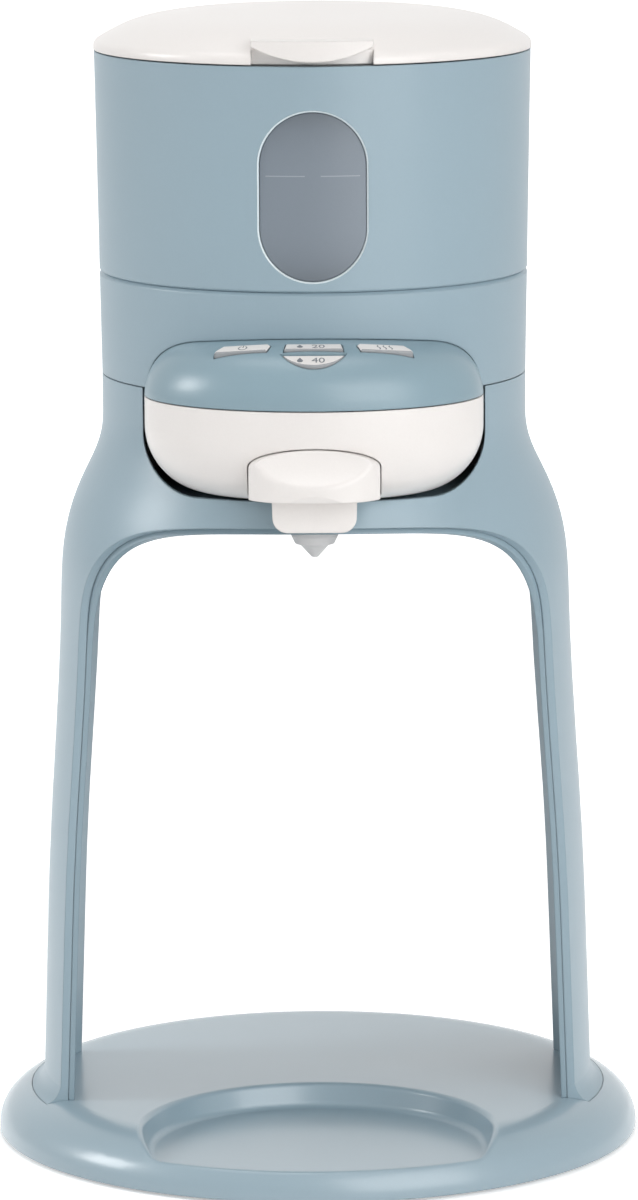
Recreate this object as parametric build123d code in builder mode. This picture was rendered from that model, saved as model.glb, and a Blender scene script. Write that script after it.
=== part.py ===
"""Baby formula maker: a water tank and heater on two legs above a round base.

Millimetres, +Z up.  The origin is on the table under the middle of the base,
the control pod and the powder drawer face -Y.
"""
import os
from math import cos, radians, sin

from build123d import *

os.makedirs("parts", exist_ok=True)

# ------------------------------------------------------------------ driving dimensions
# base
base_diameter = 176.0
rim_width = 15.5
plate_height = 14.0
rim_height = 2.0
skirt_height = 1.0
base_wall = 2.2
recess_diameter = 94.8
recess_floor_diameter = 90.8
recess_depth = 6.4
recess_setback = 30.5
recess_lip = 4.0
recess_corner = 7.0
recess_edge_round = 1.5
recess_floor_round = 2.0
pan_wall = 2.0
bottom_thickness = 2.0
bottom_clearance = 0.5
foot_pad_diameter = 12.0
foot_pad_sink = 0.9
foot_pad_margin = 20.0

# stand
neck_radius = 57.5
shoulder_height = 200.0
shoulder_rise = 30.0
foot_margin = 12.4
shell_wall = 2.0
liner_gap = 0.12
liner_wall = 1.4
liner_top = 183.4
opening_top = 176.5
opening_reveal = 1.5
leg_straight_top = 138.0
flange_width = 3.4
flange_sole = 11.5
flange_rise = 18.5
leg_half_depth = 28.0
tongue_half_depth = 22.0
tongue_depth = 9.0
tongue_clearance = 0.15
cutout_half_width = 45.6
cutout_bottom = 184.1
cutout_corner = 14.5

# body
seam_low = 211.0
seam_gap = 0.3
groove_height = 239.0
groove_gap = 0.12
groove_bevel = 0.9
seam_top = 298.4
top_radius = 58.9
body_wall = 2.2
lap_wall = 1.6
lap_height = 5.0
lap_fit = 0.1
ledge_height = 227.0
ledge_thickness = 2.0
ledge_width = 2.2
window_width = 28.2
window_height = 44.6
window_middle = 264.2
window_bevel = 0.5
lens_recess = 0.5
lens_thickness = 2.1
lens_clearance = 0.1
window_seal_width = 2.6
window_seal_thickness = 1.1

# tank and chassis
tank_radius = 53.3
tank_wall = 1.8
tank_floor = 2.2
tank_top = 296.5
tank_rim_radius = 56.2
tank_rim_thickness = 2.0
chassis_thickness = 2.4
chassis_radius = 53.3
under_cover_height = 180.5
under_cover_thickness = 2.2
post_radius = 2.8
hose_radius = 3.0
hose_bore = 2.0

# lid
lid_radius = 59.1
lid_gap = 0.4
lid_side = 0.8
lid_rise = 11.4
lid_wall = 2.0
lid_tab_half_width = 16.0
lid_tab_low = 299.7
lid_tab_high = 305.2
lid_tab_reach = 61.0
lid_tab_curve = 32.0
lid_notch_face = 56.4
lid_backing = 2.6
liner_disc_radius = 52.8
lid_liner_thickness = 1.4
spigot_radius = 50.7
spigot_wall = 2.0
spigot_depth = 5.0
lid_seal_width = 1.9
lid_seal_depth = 1.9
hinge_reach = 2.1
hinge_rise = 1.8
hinge_barrel = 3.3
hinge_pin_radius = 1.5
hinge_fit = 0.05
knuckle_half_width = 11.7
hinge_side_gap = 0.3
ear_width = 5.5
liner_posts = [(34, 20), (-34, 20), (34, -20), (-34, -20)]

# control pod
pod_half_width = 45.0
pod_half_depth = 35.6
pod_forward = 42.0
pod_parting = 210.1
pod_rise = 17.2
pod_crown_radius = 220.0
pod_shoulder = 15.0
bowl_bottom = 184.4
bowl_corner = 18.0
pod_wall = 2.2
pod_gap = 0.15
cover_seam = 0.3
ceiling_height = 206.4
ceiling_thickness = 1.6
ceiling_rest_depth = 3.0
ceiling_rest_radius = 4.0
ceiling_rests = [(41.5, -42), (-41.5, -42), (28, -68), (-28, -68), (28, -16), (-28, -16)]

# drawer
drawer_half_width = 17.2
drawer_straight = 195.2
drawer_top = 200.2
drawer_clearance = 0.3
tab_reach = 85.0
tab_bottom = 187.2
tab_round = 2.0
tray_half_width = 16.6
tray_front = 70.0
tray_back = 8.0
tray_height = 12.4
tray_wall = 1.4
skirt_bottom = 178.2
skirt_half_width = 10.9
skirt_front = 76.2
skirt_wall = 2.6
skirt_corner = 4.0

# powder and water outlet
outlet_forward = 47.0
tray_hole_radius = 6.0
funnel_flange_radius = 12.2
funnel_flange = 1.0
funnel_mouth_radius = 9.2
funnel_outlet_radius = 5.4
funnel_bore = 3.5
funnel_bottom = 174.0
nozzle_radius = 6.5
nozzle_top = 178.2
nozzle_collar = 173.0
nozzle_shoulder = 170.9
nozzle_cone_radius = 3.9
nozzle_hole = 0.5
nozzle_tip = 167.2
spout_radius = 3.0

# buttons
button_clearance = 0.25
button_rest = 3.4
button_flange = 0.8
button_flange_grow = 0.7
button_travel = 0.8
button_edge = 0.35
switch_board_height = 215.2
switch_height = 2.5
press_lean = 0.27

# screws
screw_radius = 1.4
screw_head_radius = 2.8
screw_head = 1.2
screw_fit = 0.05

# ------------------------------------------------------------------ derived places
base_radius = base_diameter / 2
plate_radius = base_radius - rim_width
recess_forward = base_radius - recess_setback
recess_floor = plate_height - recess_depth
lip_radius = base_radius - recess_lip
bottom_top = skirt_height + bottom_thickness
foot_radius = base_radius - foot_margin
leg_flare = foot_radius - neck_radius
flange_radius = foot_radius + flange_width
foot_pad_reach = base_radius - foot_pad_margin
shoulder_low = shoulder_height - shoulder_rise
liner_outer_inset = shell_wall + liner_gap
liner_inner_inset = liner_outer_inset + liner_wall
lap_radius = neck_radius - body_wall - lap_fit
lap_inner = lap_radius - lap_wall
ledge_top = ledge_height + ledge_thickness
chassis_top = ledge_top + chassis_thickness
tank_inside = tank_radius - tank_wall
tank_inside_bottom = chassis_top + tank_floor
under_cover_top = under_cover_height + under_cover_thickness
lid_bottom = seam_top + lid_gap
dome_low = lid_bottom + lid_side
hinge_y = top_radius + hinge_reach
hinge_height = lid_bottom + hinge_rise
bowl_inside_bottom = bowl_bottom + pod_wall
tray_bottom = bowl_inside_bottom + drawer_clearance
ear_inner = knuckle_half_width + hinge_side_gap
ear_outer = ear_inner + ear_width


def body_radius(height):
    """Outer radius of the slightly tapered body at a height."""
    share = (height - seam_low) / (seam_top - seam_low)
    return neck_radius + (top_radius - neck_radius) * share


# ------------------------------------------------------------------ shared forms
def revolved(points):
    """Solid of revolution about Z of a closed outline of (radius, height) points."""
    with BuildPart() as form:
        with BuildSketch(Plane.XZ):
            with BuildLine():
                Polyline(*points, close=True)
            make_face()
        revolve(axis=Axis.Z)
    return form.part


def ring(outer, inner, low, high):
    """Plain ring about Z."""
    return revolved([(inner, low), (outer, low), (outer, high), (inner, high)])


def block(x_low, x_high, y_low, y_high, z_low, z_high):
    """Box between two corners."""
    with BuildPart() as form:
        with Locations(((x_low + x_high) / 2, (y_low + y_high) / 2, (z_low + z_high) / 2)):
            Box(x_high - x_low, y_high - y_low, z_high - z_low)
    return form.part


def rod(x, y, low, high, radius):
    """Upright cylinder."""
    with BuildPart() as form:
        with BuildSketch(Plane.XY.offset(low)):
            with Locations((x, y)):
                Circle(radius)
        extrude(amount=high - low)
    return form.part


def base_dome(inset):
    """The base's domed outline, filled, drawn inset inside its outer skin."""
    rim_rise = plate_height - inset - rim_height
    with BuildPart() as form:
        with BuildSketch(Plane.XZ):
            with BuildLine():
                rim = EllipticalCenterArc((plate_radius, rim_height), rim_width - inset, rim_rise, 0, arc_size=90)
                Polyline(
                    rim @ 1,
                    (0, plate_height - inset),
                    (0, skirt_height),
                    (base_radius - inset, skirt_height),
                    rim @ 0,
                )
            make_face()
        revolve(axis=Axis.Z)
    return form.part


def recess_form(grow, low, high):
    """The bottle recess between two heights: a draughted round, cut off by the front lip."""
    draught = (recess_diameter - recess_floor_diameter) / 2 / recess_depth
    with BuildPart() as form:
        for height in (low, high):
            with BuildSketch(Plane.XY.offset(height)):
                with Locations((0, -recess_forward)):
                    Circle(recess_floor_diameter / 2 + grow + draught * (height - recess_floor))
                Circle(lip_radius + grow, mode=Mode.INTERSECT)
        loft()
        corners = form.edges().filter_by(
            lambda e: abs((e @ 0).Z - (e @ 1).Z) > 1 and e.center().Y < -recess_forward - recess_corner
        )
        fillet(corners, recess_corner + grow)
    return form.part


def on_recess_rim(edge):
    """Whether an edge of the base runs along the recess's open top."""
    points = [edge @ (step / 4) for step in range(5)]
    from_recess = [(point.X**2 + (point.Y + recess_forward) ** 2) ** 0.5 for point in points]
    from_middle = [(point.X**2 + point.Y**2) ** 0.5 for point in points]
    lowest = min(point.Z for point in points)
    is_inside = max(from_recess) < recess_diameter / 2 + 0.1 and max(from_middle) < lip_radius + 0.1
    is_wall = max(from_recess) > recess_floor_diameter / 2 or min(from_middle) > lip_radius - 0.1
    return lowest > recess_floor + 1 and is_inside and is_wall


def stand_core(inset, low, high):
    """The bell-shaped stand, filled, drawn inset inside its outer skin."""
    flare_start = (neck_radius - inset, shoulder_height)
    flare_end = (foot_radius - inset, plate_height)
    with BuildPart() as form:
        with BuildSketch(Plane.XZ):
            with BuildLine():
                bell = Spline(
                    flare_start,
                    (neck_radius + 0.299 * leg_flare - inset, shoulder_height - 0.57 * shoulder_rise),
                    (neck_radius + 0.541 * leg_flare - inset, shoulder_low + 1.0),
                    (neck_radius + 0.663 * leg_flare - inset, shoulder_low - 23.0),
                    (neck_radius + 0.834 * leg_flare - inset, shoulder_low - 78.0),
                    flare_end,
                    tangents=[(0, -1), (0.035, -1)],
                )
                Polyline(
                    bell @ 1,
                    (foot_radius - inset, 0),
                    (0, 0),
                    (0, seam_low),
                    (neck_radius - inset, seam_low),
                    bell @ 0,
                )
            make_face()
        revolve(axis=Axis.Z)
        add(rod(0, 0, low, high, base_diameter), mode=Mode.INTERSECT)
    return form.part


def leg_openings(reveal):
    """The front and back openings that leave the stand on two legs, their top drawn back by the reveal."""
    with BuildPart() as form:
        with BuildSketch(Plane.YZ):
            with BuildLine():
                edge = Spline(
                    (leg_half_depth, leg_straight_top + 0.5 * reveal),
                    (leg_half_depth + 4.8 - 0.9 * reveal, opening_top - 19.5 + 0.4 * reveal),
                    (leg_half_depth + 12.6 - 0.6 * reveal, opening_top - 9.1 + 0.8 * reveal),
                    (leg_half_depth + 23.7 - 0.3 * reveal, opening_top - 2.9 + 0.95 * reveal),
                    (leg_half_depth + 35.0 - 0.1 * reveal, opening_top - 0.8 + reveal),
                    (base_radius, opening_top + reveal),
                    tangents=[(0, 1), (1, 0)],
                )
                Polyline(edge @ 1, (base_radius, -1), (leg_half_depth, -1), edge @ 0)
            make_face()
            mirror(about=Plane.YZ)
        extrude(amount=base_radius, both=True)
    return form.part


def pod_form(inset, low, high):
    """The oval pod between two heights, filled, drawn inset inside its outer skin."""
    with BuildPart() as form:
        with BuildSketch(Plane.XY.offset(bowl_bottom + inset)):
            with Locations((0, -pod_forward)):
                Ellipse(pod_half_width - inset, pod_half_depth - inset)
        extrude(amount=2 * pod_half_width)
        fillet(form.faces().sort_by(Axis.Z)[0].edges(), bowl_corner - inset)
        with Locations((0, -pod_forward, pod_parting + pod_rise - pod_crown_radius)):
            Sphere(pod_crown_radius - inset, mode=Mode.INTERSECT)
        fillet(form.faces().sort_by(Axis.Z)[-1].edges(), pod_shoulder - inset)
        add(block(-base_radius, base_radius, -base_diameter, base_diameter, low, high), mode=Mode.INTERSECT)
    return form.part


def lid_dome(inset):
    """The lid's dome, filled, drawn inset inside its outer skin."""
    radius = lid_radius - inset
    rise = lid_rise - lid_side - inset

    def on_dome(radius_share, rise_share):
        return (radius_share * radius, dome_low + rise_share * rise)

    with BuildPart() as form:
        with BuildSketch(Plane.XZ):
            with BuildLine():
                crown = Spline(
                    on_dome(0, 1),
                    on_dome(0.54, 0.87),
                    on_dome(0.855, 0.55),
                    on_dome(0.965, 0.24),
                    on_dome(1, 0),
                    tangents=[(1, 0), (0, -1)],
                )
                Polyline(crown @ 1, (radius, lid_bottom), (0, lid_bottom), crown @ 0)
            make_face()
        revolve(axis=Axis.Z)
    return form.part


def drawer_front_view(grow, low):
    """The drawer front's outline seen from the front, pulled through the whole pod."""
    half = drawer_half_width + grow
    with BuildPart() as form:
        with BuildSketch(Plane.XZ):
            with BuildLine():
                top = EllipticalCenterArc(
                    (0, drawer_straight), half, drawer_top + grow - drawer_straight, 0, arc_size=180
                )
                Polyline(top @ 1, (-half, low), (half, low), top @ 0)
            make_face()
        extrude(amount=tab_reach + 5)
    return form.part


def tube(points, bend, outer, bore):
    """A hose of straight runs joined by bends."""
    with BuildPart() as form:
        with BuildLine() as route:
            FilletPolyline(*points, radius=bend)
        with BuildSketch(Plane(origin=route.wire() @ 0, z_dir=route.wire() % 0)):
            Circle(outer)
            Circle(bore, mode=Mode.SUBTRACT)
        sweep()
    return form.part


def screws(places, low, length):
    """Screws pushed in from below, their heads' undersides at the height low."""
    with BuildPart() as form:
        for x, y in places:
            add(rod(x, y, low, low + screw_head, screw_head_radius))
            add(rod(x, y, low, low + length, screw_radius))
    return form.part


# ------------------------------------------------------------------ base
side_boss = foot_radius - 17.6
back_boss = base_radius - 24.0
base_boss_places = [(side_boss, -20), (-side_boss, -20), (side_boss, 20), (-side_boss, 20), (25, back_boss), (-25, back_boss)]
leg_screw_places = [(side, y) for side in (-1, 1) for y in (-15, 15)]
rib_outer = foot_radius - liner_inner_inset - tongue_clearance
rib_inner = rib_outer - 3.0
leg_screw_seat = foot_radius - 8.1
leg_screw_height = 8.2
leg_pad_margin = 1.4
leg_pad_thickness = 1.8
leg_pad_half = leg_half_depth + leg_pad_margin
base_form = base_dome(0)


def leg_tongues(grow):
    """The two curved tongues of the liner that pass through the plate."""
    low = plate_height - tongue_depth - grow
    with BuildPart() as form:
        add(
            ring(
                foot_radius - liner_outer_inset + grow,
                foot_radius - liner_inner_inset - grow,
                low,
                plate_height + 1.0,
            )
        )
        half = tongue_half_depth + grow
        add(block(-foot_radius, foot_radius, -half, half, low, plate_height + 1.0), mode=Mode.INTERSECT)
    return form.part


with BuildPart() as base_top:
    add(base_form)
    add(base_dome(base_wall), mode=Mode.SUBTRACT)
    add(recess_form(pan_wall, recess_floor - pan_wall, plate_height) & base_form)
    for x, y in base_boss_places:
        add(rod(x, y, bottom_top, plate_height - base_wall / 2, 3.6) - recess_form(pan_wall, 0, plate_height))
    add(
        ring(rib_outer, rib_inner, plate_height - tongue_depth, plate_height - base_wall / 2)
        & block(-base_radius, base_radius, -tongue_half_depth, tongue_half_depth, 0, plate_height)
    )
    add(
        ring(flange_radius + leg_pad_margin, rib_outer - 1, flange_sole - leg_pad_thickness, plate_height - base_wall / 2)
        & block(-base_radius, base_radius, -leg_pad_half, leg_pad_half, 0, plate_height)
        & base_form
    )
    recess_cut = recess_form(0, recess_floor, plate_height + 1)
    add(
        recess_cut.fillet(recess_floor_round, recess_cut.faces().sort_by(Axis.Z)[0].edges()),
        mode=Mode.SUBTRACT,
    )
    fillet(base_top.edges().filter_by(on_recess_rim), recess_edge_round)
    add(leg_tongues(tongue_clearance), mode=Mode.SUBTRACT)
    pocket = ring(
        flange_radius + tongue_clearance,
        foot_radius - shell_wall - tongue_clearance,
        flange_sole - tongue_clearance / 3,
        plate_height + 1,
    )
    pocket_half = leg_half_depth + tongue_clearance
    add(
        pocket & block(-base_radius, base_radius, -pocket_half, pocket_half, 0, plate_height + 1),
        mode=Mode.SUBTRACT,
    )
    for x, y in base_boss_places:
        add(rod(x, y, bottom_top, plate_height - base_wall, screw_radius + screw_fit), mode=Mode.SUBTRACT)
    for side, y in leg_screw_places:
        with Locations(Location((side * (leg_screw_seat + 3), y, leg_screw_height), (0, 90, 0))):
            Cylinder(screw_radius + screw_fit, 8.0, mode=Mode.SUBTRACT)
        with Locations(Location((side * (leg_screw_seat - 3), y, leg_screw_height), (0, 90, 0))):
            Cylinder(screw_head_radius - 0.2, 6.0, mode=Mode.SUBTRACT)
base_top.part.label = "base_top"
export_step(base_top.part, "parts/base_top.step")

foot_places = [(foot_pad_reach * cos(radians(a)), foot_pad_reach * sin(radians(a))) for a in range(45, 360, 90)]
with BuildPart() as base_bottom:
    add(rod(0, 0, skirt_height, bottom_top, base_radius - base_wall - bottom_clearance))
    for x, y in foot_places:
        add(rod(x, y, 0, skirt_height + foot_pad_sink, foot_pad_diameter / 2 + 0.1), mode=Mode.SUBTRACT)
    for x, y in base_boss_places:
        add(rod(x, y, 0, skirt_height + screw_head, screw_head_radius + screw_fit), mode=Mode.SUBTRACT)
        add(rod(x, y, 0, bottom_top, screw_radius + screw_fit), mode=Mode.SUBTRACT)
base_bottom.part.label = "base_bottom"
export_step(base_bottom.part, "parts/base_bottom.step")

with BuildPart() as rubber_feet:
    for x, y in foot_places:
        add(rod(x, y, 0, skirt_height + foot_pad_sink, foot_pad_diameter / 2))
rubber_feet.part.label = "rubber_feet"
export_step(rubber_feet.part, "parts/rubber_feet.step")

with BuildPart() as base_screws:
    add(screws(base_boss_places, skirt_height, 9.0))
base_screws.part.label = "base_screws"
export_step(base_screws.part, "parts/base_screws.step")

with BuildPart() as leg_screws:
    for side, y in leg_screw_places:
        with Locations(Location((side * (leg_screw_seat - screw_head / 2), y, leg_screw_height), (0, 90, 0))):
            Cylinder(screw_head_radius - 0.4, screw_head)
        with Locations(Location((side * (leg_screw_seat + 2.2), y, leg_screw_height), (0, 90, 0))):
            Cylinder(screw_radius, 4.6)
leg_screws.part.label = "leg_screws"
export_step(leg_screws.part, "parts/leg_screws.step")

# ------------------------------------------------------------------ stand
with BuildPart() as pod_cutout:
    with BuildSketch(Plane.XZ):
        with Locations((0, (cutout_bottom + seam_low + 20) / 2)):
            RectangleRounded(2 * cutout_half_width, seam_low + 20 - cutout_bottom, cutout_corner)
    extrude(amount=base_radius)

with BuildPart() as foot_flange:
    with BuildSketch(Plane.XZ):
        with BuildLine():
            lip_height = rim_height + (plate_height - rim_height) * (
                1 - ((flange_radius - plate_radius) / rim_width) ** 2
            ) ** 0.5
            blend = Spline(
                (foot_radius - 0.6, flange_rise + 1.6),
                (flange_radius, lip_height),
                tangents=[(0.16, -1), (1, -0.36)],
            )
            Polyline(
                blend @ 1,
                (flange_radius, flange_sole),
                (foot_radius - shell_wall / 2, flange_sole),
                (foot_radius - shell_wall / 2, flange_rise + 1.6),
                blend @ 0,
            )
        make_face()
    revolve(axis=Axis.Z)
    add(
        block(-base_radius, base_radius, -leg_half_depth, leg_half_depth, flange_sole, flange_rise + 3),
        mode=Mode.INTERSECT,
    )

with BuildPart() as stand_shell:
    add(stand_core(0, flange_sole, seam_low))
    add(foot_flange.part)
    add(stand_core(shell_wall, 0, seam_low), mode=Mode.SUBTRACT)
    add(leg_openings(opening_reveal), mode=Mode.SUBTRACT)
    add(pod_cutout.part, mode=Mode.SUBTRACT)
stand_shell.part.label = "stand_shell"
export_step(stand_shell.part, "parts/stand_shell.step")

with BuildPart() as stand_liner:
    add(stand_core(liner_outer_inset, plate_height, liner_top))
    add(stand_core(liner_inner_inset, 0, liner_top), mode=Mode.SUBTRACT)
    add(leg_openings(0), mode=Mode.SUBTRACT)
    add(leg_tongues(0))
    for side, y in leg_screw_places:
        with Locations(Location((side * foot_radius, y, leg_screw_height), (0, 90, 0))):
            Cylinder(screw_radius + screw_fit, 12.0, mode=Mode.SUBTRACT)
stand_liner.part.label = "stand_liner"
export_step(stand_liner.part, "parts/stand_liner.step")

post_places = [(46, 14), (-46, 14), (27.5, 39.5), (-27.5, 39.5)]
with BuildPart() as under_cover:
    add(rod(0, 0, under_cover_height, under_cover_top, foot_radius))
    add(stand_core(liner_inner_inset + 0.2, 0, under_cover_top), mode=Mode.INTERSECT)
    add(rod(0, -outlet_forward, 0, under_cover_top, funnel_mouth_radius + 0.3), mode=Mode.SUBTRACT)
    for x, y in post_places:
        add(rod(x, y, 0, under_cover_height + screw_head, screw_head_radius + screw_fit), mode=Mode.SUBTRACT)
        add(rod(x, y, 0, under_cover_top, screw_radius + screw_fit), mode=Mode.SUBTRACT)
under_cover.part.label = "under_cover"
export_step(under_cover.part, "parts/under_cover.step")

with BuildPart() as cover_screws:
    add(screws(post_places, under_cover_height, 10.0))
cover_screws.part.label = "cover_screws"
export_step(cover_screws.part, "parts/cover_screws.step")

# ------------------------------------------------------------------ body
inlet_middle = 223.0
inlet_half_width = 12.5
inlet_half_height = 8.0
inlet_face = 58.6
inlet_depth = 10.0
inlet_pin = 5.0


def window_form(grow, depth):
    """The window's upright obround, pulled forward through the wall."""
    with BuildPart() as form:
        with BuildSketch(Plane.XZ):
            with Locations((0, window_middle)):
                SlotOverall(window_height + 2 * grow, window_width + 2 * grow, rotation=90)
        extrude(amount=depth)
    return form.part


with BuildPart() as lower_housing:
    with BuildSketch(Plane.XZ):
        with BuildLine():
            low_edge = seam_low + seam_gap
            high_edge = groove_height - groove_gap / 2
            Polyline(
                (body_radius(low_edge), low_edge),
                (body_radius(high_edge - groove_bevel), high_edge - groove_bevel),
                (body_radius(high_edge) - groove_bevel, high_edge),
                (lap_radius, high_edge),
                (lap_radius, high_edge + lap_height),
                (lap_inner, high_edge + lap_height),
                (lap_inner, ledge_top),
                (lap_inner - ledge_width, ledge_top),
                (lap_inner - ledge_width, ledge_height),
                (lap_inner, ledge_height),
                (lap_inner, seam_low - lap_height),
                (lap_radius, seam_low - lap_height),
                (lap_radius, low_edge),
                close=True,
            )
        make_face()
    revolve(axis=Axis.Z)
    add(pod_form(-pod_gap, 0, seam_top), mode=Mode.SUBTRACT)
    add(window_form(window_seal_width + seam_gap, base_radius), mode=Mode.SUBTRACT)
    add(
        block(
            -inlet_half_width - 0.1,
            inlet_half_width + 0.1,
            lap_inner - 8,
            top_radius + 5,
            inlet_middle - inlet_half_height - 0.1,
            inlet_middle + inlet_half_height + 0.1,
        ),
        mode=Mode.SUBTRACT,
    )
lower_housing.part.label = "lower_housing"
export_step(lower_housing.part, "parts/lower_housing.step")

with BuildPart() as hinge_ears:
    for side in (-1, 1):
        x_middle = side * (ear_inner + ear_outer) / 2
        with Locations(Location((x_middle, hinge_y, hinge_height), (0, 90, 0))):
            Cylinder(hinge_barrel, ear_width)
        low, high = sorted((side * ear_inner, side * ear_outer))
        add(block(low, high, top_radius - body_wall, hinge_y + 0.6, hinge_height - 9, hinge_height))
    hinge_line = Location((0, hinge_y, hinge_height), (0, 90, 0))

with BuildPart() as upper_housing:
    low_edge = groove_height + groove_gap / 2
    with BuildSketch(Plane.XZ):
        with BuildLine():
            Polyline(
                (body_radius(low_edge) - groove_bevel / 2, low_edge),
                (body_radius(low_edge + groove_bevel / 2), low_edge + groove_bevel / 2),
                (top_radius, seam_top),
                (top_radius - body_wall, seam_top),
                (body_radius(low_edge) - body_wall, low_edge),
                close=True,
            )
        make_face()
    revolve(axis=Axis.Z)
    add(window_form(0, base_radius), mode=Mode.SUBTRACT)
    add(hinge_ears.part - rod(0, 0, 0, seam_top + 10, top_radius - body_wall))
    with Locations(hinge_line):
        Cylinder(hinge_pin_radius + hinge_fit / 2, 2 * ear_outer + 1, mode=Mode.SUBTRACT)
        Cylinder(hinge_barrel + 0.4, 2 * knuckle_half_width + 2 * hinge_side_gap, mode=Mode.SUBTRACT)
    window_edges = (
        upper_housing.edges()
        .filter_by(lambda e: e.center().Y < -40 and abs(e.center().Z - window_middle) < window_height / 2 + 1)
        .filter_by(lambda e: (e @ 0.5).X ** 2 + (e @ 0.5).Y ** 2 > (body_radius(window_middle) - 1.2) ** 2)
    )
    chamfer(window_edges, window_bevel)
upper_housing.part.label = "upper_housing"
export_step(upper_housing.part, "parts/upper_housing.step")

lens_outer = body_radius(window_middle) - lens_recess
lens_inner = lens_outer - lens_thickness
with BuildPart() as window_lens:
    add(ring(lens_outer, lens_inner, window_middle - window_height, window_middle + window_height))
    add(window_form(-lens_clearance, base_radius), mode=Mode.INTERSECT)
window_lens.part.label = "window_lens"
export_step(window_lens.part, "parts/window_lens.step")

with BuildPart() as window_seal:
    add(
        ring(
            lens_inner - 0.1,
            lens_inner - 0.1 - window_seal_thickness,
            window_middle - window_height,
            window_middle + window_height,
        )
    )
    add(window_form(window_seal_width, base_radius), mode=Mode.INTERSECT)
    add(window_form(-window_seal_width / 2, base_radius), mode=Mode.SUBTRACT)
window_seal.part.label = "window_seal"
export_step(window_seal.part, "parts/window_seal.step")

with BuildPart() as hinge_pin:
    with Locations(hinge_line):
        Cylinder(hinge_pin_radius, 2 * ear_outer)
hinge_pin.part.label = "hinge_pin"
export_step(hinge_pin.part, "parts/hinge_pin.step")

with BuildPart() as power_inlet:
    add(
        block(
            -inlet_half_width,
            inlet_half_width,
            lap_inner + 1.5,
            inlet_face,
            inlet_middle - inlet_half_height,
            inlet_middle + inlet_half_height,
        )
    )
    add(block(-10, 10, 46.5, lap_inner + 2, inlet_middle - 6, inlet_middle + 6))
    with BuildSketch(Plane.XZ.offset(-inlet_face)):
        with Locations((0, inlet_middle)):
            SlotOverall(17.6, 8.6)
    extrude(amount=inlet_depth, mode=Mode.SUBTRACT)
power_inlet.part.label = "power_inlet"
export_step(power_inlet.part, "parts/power_inlet.step")

with BuildPart() as inlet_pins:
    for x in (-4.3, 4.3):
        with Locations(Location((x, inlet_face - inlet_depth + inlet_pin / 2, inlet_middle), (90, 0, 0))):
            Cylinder(1.2, inlet_pin)
inlet_pins.part.label = "inlet_pins"
export_step(inlet_pins.part, "parts/inlet_pins.step")

# ------------------------------------------------------------------ tank and works
pump_y = 28.0
pump_height = 199.0
pump_radius = 12.0
pump_left = -24.0
pump_right = 16.0
heater_half_width = 28.0
heater_front = 2.0
heater_back = 22.0
heater_low = 210.0
heater_high = 223.0
port_height = 218.0
port_radius = 2.5
pump_outlet_x = 8.0
hose_bend = 5.0
heater_port_y = 12.0

outlet_x = -35.0
outlet_y = 28.0
with BuildPart() as chassis:
    add(rod(0, 0, ledge_top, chassis_top, chassis_radius))
    add(rod(outlet_x, outlet_y, 0, chassis_top, 5.0), mode=Mode.SUBTRACT)
    for x, y in post_places:
        add(rod(x, y, under_cover_top, ledge_top, post_radius))
        add(rod(x, y, under_cover_top, under_cover_top + 10, screw_radius + screw_fit), mode=Mode.SUBTRACT)
    for x, y in ((20, 8), (-20, 17)):
        add(rod(x, y, heater_high, ledge_top, 2.5))
chassis.part.label = "chassis"
export_step(chassis.part, "parts/chassis.step")

with BuildPart() as water_tank:
    add(rod(0, 0, chassis_top, tank_top, tank_radius))
    add(rod(0, 0, tank_top - tank_rim_thickness, tank_top, tank_rim_radius))
    add(rod(0, 0, tank_inside_bottom, tank_top, tank_inside), mode=Mode.SUBTRACT)
    add(rod(outlet_x, outlet_y, ledge_height - 4, chassis_top, 4.0))
    add(rod(outlet_x, outlet_y, 0, tank_top, 2.5), mode=Mode.SUBTRACT)
water_tank.part.label = "water_tank"
export_step(water_tank.part, "parts/water_tank.step")

with BuildPart() as tank_strainer:
    add(rod(outlet_x, outlet_y, tank_inside_bottom, tank_inside_bottom + 5, 5.4))
    add(rod(outlet_x, outlet_y, tank_inside_bottom, tank_inside_bottom + 4, 4.2), mode=Mode.SUBTRACT)
    for turn in range(0, 180, 45):
        with Locations(Location((outlet_x, outlet_y, tank_inside_bottom + 2), (0, 0, turn))):
            Box(14, 1.2, 2.4, mode=Mode.SUBTRACT)
tank_strainer.part.label = "tank_strainer"
export_step(tank_strainer.part, "parts/tank_strainer.step")

with BuildPart() as water_pump:
    with Locations(Location(((pump_left + pump_right) / 2, pump_y, pump_height), (0, 90, 0))):
        Cylinder(pump_radius, pump_right - pump_left)
    with Locations(Location((pump_left - 2, pump_y, pump_height), (0, 90, 0))):
        Cylinder(port_radius, 4)
    with Locations(Location((pump_right + 1.5, pump_y, pump_height), (0, 90, 0))):
        Cylinder(4.0, 3)
    add(rod(pump_outlet_x, pump_y, pump_height, port_height - 6, port_radius))
water_pump.part.label = "water_pump"
export_step(water_pump.part, "parts/water_pump.step")

with BuildPart() as pump_mount:
    add(block(-14, 6, pump_y - 9, pump_y + 9, under_cover_top, pump_height - 5))
    with Locations(Location((0, pump_y, pump_height), (0, 90, 0))):
        Cylinder(pump_radius + 0.02, 60, mode=Mode.SUBTRACT)
pump_mount.part.label = "pump_mount"
export_step(pump_mount.part, "parts/pump_mount.step")

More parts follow.
